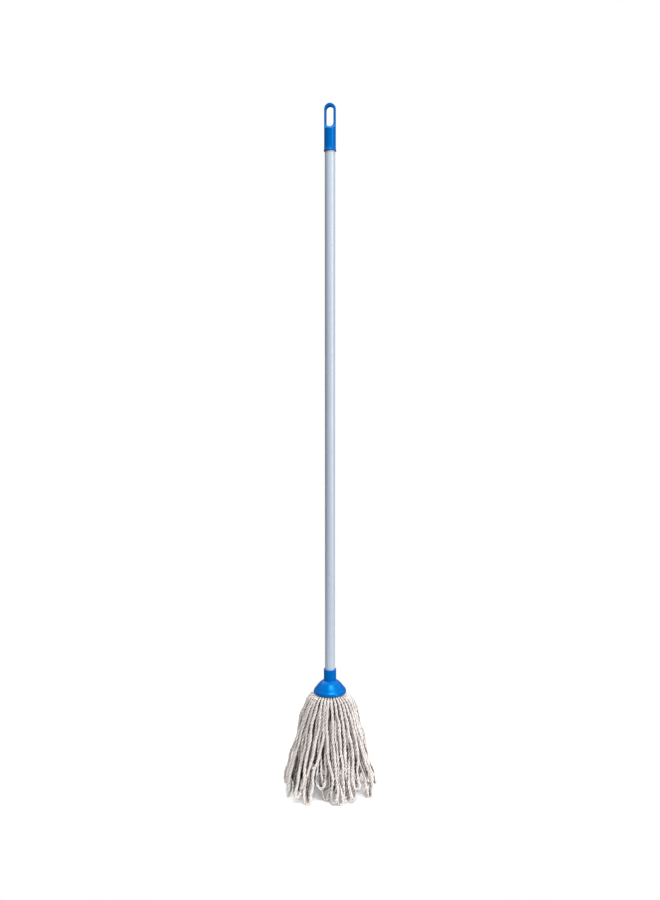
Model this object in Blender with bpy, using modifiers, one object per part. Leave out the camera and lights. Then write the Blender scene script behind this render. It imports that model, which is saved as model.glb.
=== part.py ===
"""String mop: a steel handle that screws into a plastic socket holding loops of cotton yarn.

Metres, +Z up the handle. The origin is on the floor, under the handle's axis. -Y is the front.
"""

import math
import random

import bmesh
import bpy
import numpy as np
from mathutils import Matrix, Vector

MM = 0.001
FULL_TURN = 2 * math.pi
GAP = 0.3 * MM  # clearance between neighbouring pieces
ROUND_STEPS = 40
MERGE = 0.00001

# Heights above the floor
RIM_Z = 222 * MM
PARTITION_LOW_Z = 243.5 * MM
PARTITION_TOP_Z = 247.5 * MM
FERRULE_LOW_Z = 251.5 * MM
COUNTERBORE_Z = 268.2 * MM
TUBE_LOW_Z = 270 * MM
SOCKET_TOP_Z = 274 * MM
PLUG_TOP_Z = 300 * MM
CAP_LOW_Z = 1389 * MM
TUBE_TOP_Z = 1432 * MM
SLOT_LOW_Z = 1438.7 * MM
SLOT_TOP_Z = 1479.5 * MM
CAP_TOP_Z = 1487 * MM

# Handle
TUBE_RADIUS = 11 * MM
TUBE_WALL = 0.5 * MM

# Screw thread: coarse, rounded and right-handed
THREAD_PITCH = 5 * MM
THREAD_HELIX_RADIUS = 8.9 * MM
THREAD_ROUND = 1.4 * MM
THREAD_CLEARANCE = 0.6 * MM
THREAD_TURNS = 2.8
POINTS_PER_TURN = 16
STUB_RADIUS = 8.6 * MM
FERRULE_BORE = 6 * MM

# Socket
NECK_RADIUS = 13.75 * MM
COUNTERBORE_RADIUS = 11.4 * MM
SCREW_HOLE = 1.9 * MM

# Hanging cap
SLEEVE_RADIUS = 12.3 * MM
FLARE_RADIUS = 13.5 * MM
FLARE_HEIGHT = 8 * MM
TAB_THICKNESS = 9.5 * MM
SLOT_WIDTH = 15.6 * MM
SCOOP_RADIUS = 8 * MM
SCOOP_Z = 1442.7 * MM

# Yarn: every loop's two legs pass these heights on their way from the dome to the floor
LEVEL_Z = [z * MM for z in (237, 220.6, 211.5, 188, 148, 100, 52)]
LEVEL_DIAMETER = [d * MM for d in (2.8, 4.1, 5.4, 6.2, 6.6, 6.6, 6.6)]
YARN_END_DIAMETER = LEVEL_DIAMETER[-1]
FREE_LEVEL = 2  # the first level that hangs free of the dome
PAIRED = (0, 0, 0, 0.15, 0.4, 0.7, 1)  # how far the legs of a loop have closed up
PAIR_DRIFT = [s * MM for s in (0, 0, 0.6, 2, 4, 6.5, 9)]  # the most that a loop strays sideways
LEG_DRIFT = [s * MM for s in (0, 0, 0.4, 1, 1.8, 2.2, 1.5)]
DEPTH_DRIFT = [s * MM for s in (0, 0, 0.5, 2, 4, 5.5, 7)]
YARN_SEED = 400
PARTINGS = ((7, 0.28), (4, 0.14))  # the skirt parts this many times round, this much wider
FIRST_PARTING = math.radians(256)
FLOOR_DEPTH_SCALE = 0.8  # the skirt is less deep than wide at the floor
FLOOR_FULLNESS = 3.2  # the power of its outline there: 2 is a plain oval
SKIRT_TURN = Matrix.Rotation(math.radians(10), 3, "Z")  # its wide way, against the cap's slot
FOLD_RADIUS = 6 * MM
FOLD_STEPS = 4
FOLD_SPREAD = 6 * MM
FOLD_TURN = math.radians(50)  # the most that a loop's end turns out of line
LONGEST_LIFT = 32 * MM
LIFTED_EVERY = 2  # every second loop ends above the floor
YARN_RINGS = (
    # loops, radius at each level, radius where the loop folds
    (18, [r * MM for r in (21.5, 31, 44, 55.5, 66.5, 77, 88.5)], 94 * MM),
    (16, [r * MM for r in (16.6, 23.2, 34.5, 46.5, 58.5, 69.5, 80.5)], 87 * MM),
    (12, [r * MM for r in (12.6, 17, 22, 33, 45, 56, 66)], 71 * MM),
    (8, [r * MM for r in (9.2, 11.6, 14, 21, 30, 39, 47)], 51 * MM),
)
SETTLE_GAP = 0.35 * MM  # clearance that the loops keep from each other
SETTLE_ROUNDS = 400
SETTLE_HASTE = 1.2  # each round moves the loops a little more than they overlap
SHARED_TOUCH = 0.5  # a point that takes more touches than this moves by their average
TINY = 1e-9
NEAR = 60 * MM  # pieces of yarn further apart than this can't meet

COLOURS = {
    "blue_plastic": ((0.005, 0.11, 0.5), 0.32, 0.0),
    "coated_tube": ((0.55, 0.63, 0.75), 0.35, 0.0),
    "inner_plastic": ((0.72, 0.72, 0.7), 0.5, 0.0),
    "screw_steel": ((0.62, 0.62, 0.64), 0.3, 1.0),
    "cotton": ((0.72, 0.68, 0.62), 0.95, 0.0),
}


def clear_scene():
    for obj in list(bpy.data.objects):
        bpy.data.objects.remove(obj, do_unlink=True)


def make_collection(name):
    collection = bpy.data.collections.new(name)
    bpy.context.scene.collection.children.link(collection)
    return collection


def make_material(node_name, colour_name):
    colour, roughness, metallic = COLOURS[colour_name]
    material = bpy.data.materials.new(node_name)
    material.use_nodes = True
    shader = material.node_tree.nodes["Principled BSDF"]
    shader.inputs["Base Color"].default_value = (*colour, 1)
    shader.inputs["Roughness"].default_value = roughness
    shader.inputs["Metallic"].default_value = metallic
    material.diffuse_color = (*colour, 1)
    return material


def finish_part(obj, colour_name):
    """Gives a sub-part its own material and smooth shading between its sharp edges."""
    obj.data.materials.clear()
    obj.data.materials.append(make_material(obj.name, colour_name))
    if obj.type == "MESH":
        obj.data.shade_smooth()
        obj.data.set_sharp_from_angle(angle=math.radians(35))
    return obj


def turned(name, collection, profile, steps=ROUND_STEPS):
    """A closed outline of (radius, height) pairs turned about the Z axis.

    The outline runs down its outer side, so that the faces point out.
    """
    mesh = bpy.data.meshes.new(name)
    bm = bmesh.new()
    corners = [bm.verts.new((radius, 0, height)) for radius, height in profile]
    for index, corner in enumerate(corners):
        bm.edges.new((corner, corners[(index + 1) % len(corners)]))
    bm.to_mesh(mesh)
    bm.free()
    obj = bpy.data.objects.new(name, mesh)
    collection.objects.link(obj)
    screw = obj.modifiers.new("Turn", "SCREW")
    screw.axis = "Z"
    screw.angle = FULL_TURN
    screw.steps = steps
    screw.render_steps = steps
    screw.use_merge_vertices = True
    screw.merge_threshold = MERGE
    return obj


def tube_along(name, collection, points, diameters, sides_level):
    """A round tube through the points, with a diameter at each."""
    curve = bpy.data.curves.new(name, "CURVE")
    curve.dimensions = "3D"
    curve.bevel_depth = diameters[0] / 2
    curve.bevel_resolution = sides_level
    curve.use_fill_caps = True
    spline = curve.splines.new("POLY")
    spline.points.add(len(points) - 1)
    for spline_point, place, diameter in zip(spline.points, points, diameters):
        spline_point.co = (*place, 1)
        spline_point.radius = diameter / diameters[0]
    obj = bpy.data.objects.new(name, curve)
    collection.objects.link(obj)
    return obj


def as_mesh(obj, collection):
    """Takes the place of a curve or a modified object with its evaluated, welded mesh."""
    depsgraph = bpy.context.evaluated_depsgraph_get()
    mesh = bpy.data.meshes.new_from_object(obj.evaluated_get(depsgraph))
    bm = bmesh.new()
    bm.from_mesh(mesh)
    bmesh.ops.remove_doubles(bm, verts=bm.verts, dist=MERGE)
    bm.to_mesh(mesh)
    bm.free()
    name, place = obj.name, obj.matrix_world.copy()
    bpy.data.objects.remove(obj, do_unlink=True)
    made = bpy.data.objects.new(name, mesh)
    made.matrix_world = place
    collection.objects.link(made)
    return made


def combine(obj, other, operation):
    boolean = obj.modifiers.new(other.name, "BOOLEAN")
    boolean.object = other
    boolean.operation = operation
    boolean.solver = "EXACT"
    other.hide_render = True
    other.display_type = "WIRE"


def flat_cutter(name, outline, thickness, across):
    """A flat outline of (sideways, height) pairs, centred on the plane that faces across."""
    curve = bpy.data.curves.new(name, "CURVE")
    curve.dimensions = "2D"
    curve.fill_mode = "BOTH"
    curve.extrude = thickness / 2
    spline = curve.splines.new("POLY")
    spline.points.add(len(outline) - 1)
    for spline_point, (sideways, height) in zip(spline.points, outline):
        spline_point.co = (sideways, height, 0, 1)
    spline.use_cyclic_u = True
    obj = bpy.data.objects.new(name, curve)
    turn = 0 if across == "Y" else math.pi / 2
    obj.rotation_euler = (math.pi / 2, 0, turn)
    cutters.objects.link(obj)
    bpy.context.view_layer.update()
    return as_mesh(obj, cutters)


def arc(centre, radius, start, end, steps):
    """Points (sideways, height) on an arc, with angles in turns."""
    points = []
    for step in range(steps + 1):
        angle = FULL_TURN * (start + (end - start) * step / steps)
        points.append(
            (centre[0] + radius * math.cos(angle), centre[1] + radius * math.sin(angle))
        )
    return points


def helix(radius, low_z, turns):
    points = []
    for step in range(round(turns * POINTS_PER_TURN) + 1):
        turned_by = FULL_TURN * step / POINTS_PER_TURN
        height = low_z + THREAD_PITCH * step / POINTS_PER_TURN
        points.append(
            (radius * math.cos(turned_by), radius * math.sin(turned_by), height)
        )
    return points


def thread_body(name, growth, turns):
    """The rounded ridge of the thread, or with some growth the groove that it runs in."""
    low_z = FERRULE_LOW_Z + THREAD_ROUND
    points = helix(THREAD_HELIX_RADIUS, low_z, turns)
    diameters = [2 * (THREAD_ROUND + growth)] * len(points)
    return as_mesh(tube_along(name, cutters, points, diameters, 1), cutters)


def make_handle_tube():
    inner = TUBE_RADIUS - TUBE_WALL
    profile = (
        (inner, TUBE_TOP_Z),
        (TUBE_RADIUS, TUBE_TOP_Z),
        (TUBE_RADIUS, TUBE_LOW_Z),
        (inner, TUBE_LOW_Z),
    )
    finish_part(turned("handle_tube", parts, profile), "coated_tube")


def make_threaded_ferrule():
    plug_radius = TUBE_RADIUS - TUBE_WALL - GAP
    flange_top = TUBE_LOW_Z - GAP
    flange_low = COUNTERBORE_Z + GAP
    profile = (
        (FERRULE_BORE, PLUG_TOP_Z),
        (plug_radius - 1 * MM, PLUG_TOP_Z),
        (plug_radius, PLUG_TOP_Z - 2 * MM),
        (plug_radius, flange_top),
        (TUBE_RADIUS, flange_top),
        (TUBE_RADIUS, flange_low),
        (STUB_RADIUS, flange_low),
        (STUB_RADIUS, FERRULE_LOW_Z + 1 * MM),
        (STUB_RADIUS - 1 * MM, FERRULE_LOW_Z),
        (FERRULE_BORE, FERRULE_LOW_Z),
    )
    ferrule = turned("threaded_ferrule", parts, profile)
    combine(ferrule, thread_body("thread_ridge", 0, THREAD_TURNS), "UNION")
    finish_part(ferrule, "inner_plastic")


def make_mop_socket():
    bore = THREAD_HELIX_RADIUS
    profile = (
        (SCREW_HOLE, PARTITION_TOP_Z),
        (bore, PARTITION_TOP_Z),
        (bore, COUNTERBORE_Z),
        (COUNTERBORE_RADIUS, COUNTERBORE_Z),
        (COUNTERBORE_RADIUS, SOCKET_TOP_Z),
        (NECK_RADIUS - 0.6 * MM, SOCKET_TOP_Z),
        (NECK_RADIUS, SOCKET_TOP_Z - 0.8 * MM),
        (NECK_RADIUS, 248.2 * MM),
        (16.4 * MM, 247.2 * MM),
        (21 * MM, 243.9 * MM),
        (25 * MM, 239.8 * MM),
        (28.6 * MM, 235.5 * MM),
        (31.5 * MM, 231.2 * MM),
        (33.6 * MM, 229 * MM),
        (35.2 * MM, 227 * MM),
        (35.85 * MM, 223.5 * MM),
        (35.5 * MM, RIM_Z),
        (33.7 * MM, RIM_Z),
        (33.2 * MM, 226.5 * MM),
        (29.4 * MM, 231.8 * MM),
        (26.4 * MM, 235.6 * MM),
        (22.8 * MM, 239.4 * MM),
        (18.5 * MM, 242.4 * MM),
        (14 * MM, PARTITION_LOW_Z),
        (SCREW_HOLE, PARTITION_LOW_Z),
    )
    socket = turned("mop_socket", parts, profile)
    groove_turns = (SOCKET_TOP_Z - FERRULE_LOW_Z) / THREAD_PITCH
    groove = thread_body("thread_groove", THREAD_CLEARANCE, groove_turns)
    combine(socket, groove, "DIFFERENCE")
    finish_part(socket, "blue_plastic")


def make_yarn_retainer():
    """A cone that wedges the yarn's ends against the dome, with a recess for the screw's head."""
    low_z = 226 * MM
    recess_radius = 4.2 * MM
    recess_z = 229.3 * MM
    profile = (
        (SCREW_HOLE, PARTITION_LOW_Z - GAP),
        (5.4 * MM, PARTITION_LOW_Z - GAP),
        (7 * MM, 237.5 * MM),
        (8.2 * MM, 229 * MM),
        (7.8 * MM, 227 * MM),
        (6.6 * MM, low_z),
        (recess_radius, low_z),
        (recess_radius, recess_z),
        (SCREW_HOLE, recess_z),
    )
    finish_part(turned("yarn_retainer", parts, profile, 24), "inner_plastic")


def make_retainer_screw():
    head_low = 226.8 * MM
    head_top = 229 * MM
    profile = (
        (0.2 * MM, 250.6 * MM),
        (1.5 * MM, 248.4 * MM),
        (1.5 * MM, head_top),
        (3.5 * MM, head_top),
        (3.5 * MM, head_low + 0.9 * MM),
        (2.6 * MM, head_low),
        (0.2 * MM, head_low),
    )
    screw = turned("retainer_screw", parts, profile, 20)
    cross_arm = 1.9 * MM
    cross_width = 0.8 * MM
    for turn in (0, math.pi / 2):
        bpy.ops.mesh.primitive_cube_add(size=1, location=(0, 0, head_low))
        slot = bpy.context.object
        slot.name = "drive_slot"
        slot.scale = (2 * cross_arm, cross_width, 2 * MM)
        slot.rotation_euler = (0, 0, turn)
        bpy.context.view_layer.update()
        move_to(slot, cutters)
        combine(screw, slot, "DIFFERENCE")
    finish_part(screw, "screw_steel")


def move_to(obj, collection):
    for owner in list(obj.users_collection):
        owner.objects.unlink(obj)
    collection.objects.link(obj)


def make_hanging_cap():
    bore = TUBE_RADIUS + GAP
    crown_z = CAP_TOP_Z - SLEEVE_RADIUS
    crown = arc((0, crown_z), SLEEVE_RADIUS, 0.235, 0, 8)
    tip = (0.2 * MM, CAP_TOP_Z)
    tip_low = (0.2 * MM, TUBE_TOP_Z + GAP)
    profile = [
        tip,
        *crown,
        (SLEEVE_RADIUS, CAP_LOW_Z + FLARE_HEIGHT),
        (SLEEVE_RADIUS + 0.4 * MM, CAP_LOW_Z + FLARE_HEIGHT / 2),
        (FLARE_RADIUS, CAP_LOW_Z),
        (bore, CAP_LOW_Z),
        (bore, TUBE_TOP_Z + GAP),
        tip_low,
    ]
    cap = turned("hanging_cap", parts, profile)
    bpy.ops.mesh.primitive_cylinder_add(
        vertices=8,
        radius=1.2 * MM,
        depth=CAP_TOP_Z - TUBE_TOP_Z - 1 * MM,
        location=(0, 0, (CAP_TOP_Z + TUBE_TOP_Z) / 2),
    )
    core = bpy.context.object
    core.name = "cap_core"
    move_to(core, cutters)
    combine(cap, core, "UNION")
    face = TAB_THICKNESS / 2
    for side in (-1, 1):
        scoop = arc((face + SCOOP_RADIUS, SCOOP_Z), SCOOP_RADIUS, 0.5, 0.75, 6)
        outline = [
            *scoop,
            (face + 2 * SCOOP_RADIUS, SCOOP_Z - SCOOP_RADIUS),
            (face + 2 * SCOOP_RADIUS, CAP_TOP_Z + 5 * MM),
            (face, CAP_TOP_Z + 5 * MM),
        ]
        outline = [(side * sideways, height) for sideways, height in outline]
        cutter = flat_cutter("scoop_cutter", outline, 4 * SLEEVE_RADIUS, "X")
        combine(cap, cutter, "DIFFERENCE")
    end_radius = SLOT_WIDTH / 2
    slot_outline = [
        *arc((0, SLOT_TOP_Z - end_radius), end_radius, 0, 0.5, 12),
        *arc((0, SLOT_LOW_Z + end_radius), end_radius, 0.5, 1, 12),
    ]
    cutter = flat_cutter("slot_cutter", slot_outline, 4 * SLEEVE_RADIUS, "Y")
    combine(cap, cutter, "DIFFERENCE")
    finish_part(cap, "blue_plastic")


def parted(angle, fallen):
    """The angle of a strand once the skirt has parted into clumps, more so lower down."""
    for count, strength in PARTINGS:
        angle += fallen * strength / count * math.sin(count * (angle - FIRST_PARTING))
    return angle


def skirt_point(angle, radius, height):
    """A point on the skirt, which is round at the dome and spreads into an oval with full corners."""
    fallen = min(1, max(0, 1 - height / RIM_Z))
    angle = parted(angle, fallen)
    depth = 1 + (FLOOR_DEPTH_SCALE - 1) * fallen
    fullness = 2 + (FLOOR_FULLNESS - 2) * fallen
    across, deep = math.cos(angle), math.sin(angle)
    scale = (abs(across) ** fullness + abs(deep) ** fullness) ** (-1 / fullness)
    return SKIRT_TURN @ Vector((radius * scale * across, radius * scale * deep * depth, height))


def drift(draw):
    """A smooth random course down the levels, between -1 and 1."""
    phase, step = draw.uniform(0, FULL_TURN), draw.uniform(0.5, 1.3)
    return [math.sin(phase + step * level) for level in range(len(LEVEL_Z))]


def yarn_leg(ring, angle, side_of_pair, pair_drifts, draw):
    """The points of one leg, from its cut end in the dome down to just above the fold."""
    loops, radii, _ = ring
    pair_side, pair_depth = pair_drifts
    own_side, own_depth = drift(draw), drift(draw)
    points = []
    for level, (height, radius) in enumerate(zip(LEVEL_Z, radii)):
        spread_apart = FULL_TURN * radius / loops / 4
        offset = spread_apart + (FOLD_RADIUS - spread_apart) * PAIRED[level]
        side = PAIR_DRIFT[level] * pair_side[level] + LEG_DRIFT[level] * own_side[level]
        side += side_of_pair * offset
        depth = DEPTH_DRIFT[level] * pair_depth[level] + LEG_DRIFT[level] * own_depth[level]
        points.append(skirt_point(angle + side / radius, radius + depth, height))
    return points


def yarn_route(ring, index, number):
    """The centreline of one loop of yarn, from cut end to cut end, round the fold at the floor."""
    draw = random.Random(YARN_SEED + number)
    loops, radii, fold_radius = ring
    spacing = FULL_TURN / loops
    middle_angle = spacing * (index + 0.5)
    pair_drifts = drift(draw), drift(draw)
    right = yarn_leg(ring, middle_angle, -1, pair_drifts, draw)
    left = yarn_leg(ring, middle_angle, 1, pair_drifts, draw)
    lift = draw.uniform(0, LONGEST_LIFT) * (number % LIFTED_EVERY == 0)
    last = (right[-1] + left[-1]) / 2
    outward = Vector((last.x, last.y, 0)).normalized()
    reach = fold_radius - radii[-1] + draw.uniform(-FOLD_SPREAD, FOLD_SPREAD)
    centre = last + outward * reach
    centre.z = YARN_END_DIAMETER / 2 + FOLD_RADIUS + lift
    down = (centre - last).normalized()
    across = (left[-1] - right[-1]).normalized()
    across = (across - down * across.dot(down)).normalized()
    across = Matrix.Rotation(draw.uniform(-FOLD_TURN, FOLD_TURN), 3, down) @ across
    fold = []
    for step in range(FOLD_STEPS + 1):
        angle = math.pi * step / FOLD_STEPS
        turned_to = down * math.sin(angle) - across * math.cos(angle)
        fold.append(centre + FOLD_RADIUS * turned_to)
    spare = min(point.z for point in fold) - YARN_END_DIAMETER / 2 - lift
    fold = [point - Vector((0, 0, spare)) for point in fold]
    return right + fold + left[::-1]


def closest_shares(start_a, along_a, start_b, along_b):
    """How far along each pair of straight pieces their closest points lie, from 0 to 1."""
    between = start_a - start_b
    aa = (along_a * along_a).sum(1)
    bb = (along_b * along_b).sum(1)
    ab = (along_a * along_b).sum(1)
    a_between = (along_a * between).sum(1)
    b_between = (along_b * between).sum(1)
    spread = np.maximum(aa * bb - ab * ab, TINY * TINY)
    share_a = np.clip((ab * b_between - a_between * bb) / spread, 0, 1)
    share_b = np.clip((ab * share_a + b_between) / bb, 0, 1)
    share_a = np.clip((ab * share_b - a_between) / aa, 0, 1)
    return share_a, share_b


def settle(routes, diameters):
    """Moves the loops sideways, a little at a time, until none touches another."""
    loops, count = len(routes), len(diameters)
    points = np.array(routes, dtype=float)
    free = np.ones(count)
    free[:FREE_LEVEL] = free[-FREE_LEVEL:] = 0
    fold = slice(len(LEVEL_Z), count - len(LEVEL_Z))
    pieces = count - 1
    owner = np.repeat(np.arange(loops), pieces)
    first = np.tile(np.arange(pieces), loops)
    a, b = np.triu_indices(loops * pieces, 1)
    apart = (owner[a] != owner[b]) | (np.abs(first[a] - first[b]) > FOLD_STEPS)
    a, b = a[apart], b[apart]
    middles = (points[:, 1:] + points[:, :-1]).reshape(-1, 3) / 2
    near = np.linalg.norm(middles[a] - middles[b], axis=1) < NEAR
    a, b = a[near], b[near]
    start = owner * count + first
    thickness = np.asarray(diameters)
    growth = np.diff(thickness)
    for _ in range(SETTLE_ROUNDS):
        flat = points.reshape(-1, 3)
        along = flat[start + 1] - flat[start]
        share_a, share_b = closest_shares(flat[start[a]], along[a], flat[start[b]], along[b])
        place_a = flat[start[a]] + along[a] * share_a[:, None]
        place_b = flat[start[b]] + along[b] * share_b[:, None]
        away = place_a - place_b
        distance = np.linalg.norm(away, axis=1)
        thick_a = thickness[first[a]] + growth[first[a]] * share_a
        thick_b = thickness[first[b]] + growth[first[b]] * share_b
        lack = (thick_a + thick_b) / 2 + SETTLE_GAP - distance
        meet = lack > MERGE
        if not meet.any():
            break
        push = away[meet] / np.maximum(distance[meet], TINY)[:, None] * lack[meet, None] / 2
        push[:, 2] = 0
        move = np.zeros_like(flat)
        weight = np.zeros(len(flat))
        for piece, share, sign in ((a, share_a, 1), (b, share_b, -1)):
            at, part_way = start[piece[meet]], share[meet]
            for end, portion in ((0, 1 - part_way), (1, part_way)):
                np.add.at(move, at + end, sign * push * portion[:, None])
                np.add.at(weight, at + end, portion)
        move = move / np.maximum(weight, SHARED_TOUCH)[:, None]
        move = move.reshape(points.shape) * SETTLE_HASTE
        move[:, fold] = move[:, fold].mean(axis=1, keepdims=True) * 2
        points += move * free[None, :, None]
    return [[Vector(point) for point in route] for route in points]


def make_yarn():
    fold_diameters = [YARN_END_DIAMETER] * (FOLD_STEPS + 1)
    diameters = LEVEL_DIAMETER + fold_diameters + LEVEL_DIAMETER[::-1]
    places = [(ring, index) for ring in YARN_RINGS for index in range(ring[0])]
    routes = [
        yarn_route(ring, index, number)
        for number, (ring, index) in enumerate(places, start=1)
    ]
    for number, points in enumerate(settle(routes, diameters), start=1):
        loop = tube_along(f"yarn_loop_{number:02d}", parts, points, diameters, 2)
        finish_part(loop, "cotton")


clear_scene()
parts = make_collection("string_mop")
cutters = make_collection("cutters")
make_hanging_cap()
make_handle_tube()
make_threaded_ferrule()
make_mop_socket()
make_yarn_retainer()
make_retainer_screw()
make_yarn()
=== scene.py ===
"""String mop: the visual model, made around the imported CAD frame."""

import math
import random

import bpy
import numpy as np
from mathutils import Matrix, Vector


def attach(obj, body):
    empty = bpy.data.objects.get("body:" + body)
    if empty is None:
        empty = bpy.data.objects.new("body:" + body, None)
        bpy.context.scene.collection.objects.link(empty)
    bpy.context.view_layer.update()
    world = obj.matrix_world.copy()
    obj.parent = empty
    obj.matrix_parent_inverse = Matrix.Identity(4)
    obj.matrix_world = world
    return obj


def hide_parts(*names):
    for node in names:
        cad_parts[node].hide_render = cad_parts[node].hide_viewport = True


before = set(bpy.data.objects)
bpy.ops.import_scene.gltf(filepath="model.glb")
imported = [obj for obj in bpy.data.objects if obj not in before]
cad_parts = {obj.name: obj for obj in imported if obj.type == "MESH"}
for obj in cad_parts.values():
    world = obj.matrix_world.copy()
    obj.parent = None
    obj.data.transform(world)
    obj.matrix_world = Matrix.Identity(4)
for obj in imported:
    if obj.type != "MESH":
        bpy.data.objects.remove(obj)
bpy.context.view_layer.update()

MM = 0.001
FULL_TURN = 2 * math.pi
TINY = 1e-9
SCENE = bpy.context.scene

# ---------------------------------------------------------------- camera
CAMERA_DISTANCE = 1.735
CAMERA_HEIGHT = 0.919
CAMERA_AZIMUTH = math.radians(10)
CAMERA_TILT = math.radians(5.2)
CAMERA_LENS = 32.2
CAMERA_SENSOR = 36


def make_camera():
    """The photo's point of view."""
    data = bpy.data.cameras.new("camera")
    data.sensor_width = CAMERA_SENSOR
    data.lens = CAMERA_LENS
    camera = bpy.data.objects.new("camera", data)
    side, back = math.sin(CAMERA_AZIMUTH), math.cos(CAMERA_AZIMUTH)
    camera.location = (CAMERA_DISTANCE * side, -CAMERA_DISTANCE * back, CAMERA_HEIGHT)
    camera.rotation_euler = (math.pi / 2 - CAMERA_TILT, 0, CAMERA_AZIMUTH)
    SCENE.collection.objects.link(camera)
    SCENE.camera = camera


make_camera()

# ---------------------------------------------------------------- the yarn's routes
# The same design as the CAD's: heights, radii, drifts and the settling that parts the loops.
RIM_Z = 222 * MM
LEVEL_Z = [z * MM for z in (237, 220.6, 211.5, 188, 148, 100, 52)]
LEVEL_DIAMETER = [d * MM for d in (2.8, 4.1, 5.4, 6.2, 6.6, 6.6, 6.6)]
YARN_END_DIAMETER = LEVEL_DIAMETER[-1]
FREE_LEVEL = 2  # the first level that hangs free of the dome
PAIRED = (0, 0, 0, 0.15, 0.4, 0.7, 1)  # how far the legs of a loop have closed up
PAIR_DRIFT = [s * MM for s in (0, 0, 0.6, 2, 4, 6.5, 9)]  # the most that a loop strays sideways
LEG_DRIFT = [s * MM for s in (0, 0, 0.4, 1, 1.8, 2.2, 1.5)]
DEPTH_DRIFT = [s * MM for s in (0, 0, 0.5, 2, 4, 5.5, 7)]
DRIFT_STEP = (0.5, 1.3)  # how far a drift moves along its sine wave at each level
YARN_SEED = 400
PARTINGS = ((7, 0.28), (4, 0.14))  # the skirt parts this many times round, this much wider
FIRST_PARTING = math.radians(256)
FLOOR_DEPTH_SCALE = 0.8  # the skirt is less deep than wide at the floor
FLOOR_FULLNESS = 3.2  # the power of its outline there: 2 is a plain oval
SKIRT_TURN = Matrix.Rotation(math.radians(10), 3, "Z")  # its wide way, against the cap's slot
FOLD_RADIUS = 6 * MM
FOLD_STEPS = 4
FOLD_SPREAD = 6 * MM
FOLD_TURN = math.radians(50)  # the most that a loop's end turns out of line
LONGEST_LIFT = 32 * MM
LIFTED_EVERY = 2  # every second loop ends above the floor
YARN_RINGS = (
    # loops, radius at each level, radius where the loop folds
    (18, [r * MM for r in (21.5, 31, 44, 55.5, 66.5, 77, 88.5)], 94 * MM),
    (16, [r * MM for r in (16.6, 23.2, 34.5, 46.5, 58.5, 69.5, 80.5)], 87 * MM),
    (12, [r * MM for r in (12.6, 17, 22, 33, 45, 56, 66)], 71 * MM),
    (8, [r * MM for r in (9.2, 11.6, 14, 21, 30, 39, 47)], 51 * MM),
)
SETTLE_GAP = 0.35 * MM  # clearance that the loops keep from each other
SETTLE_ROUNDS = 400
SETTLE_HASTE = 1.2  # each round moves the loops a little more than they overlap
SHARED_TOUCH = 0.5  # a point that takes more touches than this moves by their average
TOUCHING = 0.00001  # overlaps smaller than this are let be
NEAR = 60 * MM  # pieces of yarn further apart than this can't meet

# The fine course that each loop takes along that route
FINE_POINTS = 84
FINE_GAP = 0.05 * MM
FINE_NEAR = 14 * MM
FINE_PASSES = 5  # each pass settles the loops and then eases out their kinks
FINE_ROUNDS = 14
LAST_ROUNDS = 80
EASING = 0.3
FOLD_POINTS = 5  # points on each side of the fold's middle that easing leaves alone
DENSE_STEPS = 8  # a smooth curve is measured with this many steps for each point it gets
HELD_DEPTH = 10 * MM  # the dome holds the yarn this far below its rim,
LOOSE_DEPTH = 20 * MM  # and this much further down it can move freely
WAVE_SEED = 1000
WAVES = ((23 * MM, 0.55 * MM), (43 * MM, 1.2 * MM), (90 * MM, 1.7 * MM))  # length, height
WAVE_STRETCH = (0.8, 1.25)
WAVE_SHARE = (0.4, 1)
WAVE_ONSET = 40 * MM  # below the rim, the waves grow over this height
CALM_Z, CALM_HEIGHT, CALM_SHARE = 8 * MM, 25 * MM, 0.35  # they shrink again near the floor,
CURL_Z, CURL_HEIGHT, CURL_SHARE = 90 * MM, 50 * MM, 0.7  # but the lower yarn curls more


def parted(angle, fallen):
    """The angle of a strand once the skirt has parted into clumps, more so lower down."""
    for count, strength in PARTINGS:
        angle += fallen * strength / count * math.sin(count * (angle - FIRST_PARTING))
    return angle


def skirt_point(angle, radius, height):
    """A point on the skirt, round at the dome and spreading into an oval with full corners."""
    fallen = min(1, max(0, 1 - height / RIM_Z))
    angle = parted(angle, fallen)
    depth = 1 + (FLOOR_DEPTH_SCALE - 1) * fallen
    fullness = 2 + (FLOOR_FULLNESS - 2) * fallen
    across, deep = math.cos(angle), math.sin(angle)
    scale = (abs(across) ** fullness + abs(deep) ** fullness) ** (-1 / fullness)
    return SKIRT_TURN @ Vector((radius * scale * across, radius * scale * deep * depth, height))


def drift(draw):
    """A smooth random course down the levels, between -1 and 1."""
    phase, step = draw.uniform(0, FULL_TURN), draw.uniform(*DRIFT_STEP)
    return [math.sin(phase + step * level) for level in range(len(LEVEL_Z))]


def yarn_leg(ring, angle, side_of_pair, pair_drifts, draw):
    """The points of one leg, from its cut end in the dome down to just above the fold."""
    loops, radii, _ = ring
    pair_side, pair_depth = pair_drifts
    own_side, own_depth = drift(draw), drift(draw)
    points = []
    for level, (height, radius) in enumerate(zip(LEVEL_Z, radii)):
        spread_apart = FULL_TURN * radius / loops / 4
        offset = spread_apart + (FOLD_RADIUS - spread_apart) * PAIRED[level]
        side = PAIR_DRIFT[level] * pair_side[level] + LEG_DRIFT[level] * own_side[level]
        side += side_of_pair * offset
        depth = DEPTH_DRIFT[level] * pair_depth[level] + LEG_DRIFT[level] * own_depth[level]
        points.append(skirt_point(angle + side / radius, radius + depth, height))
    return points


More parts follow.
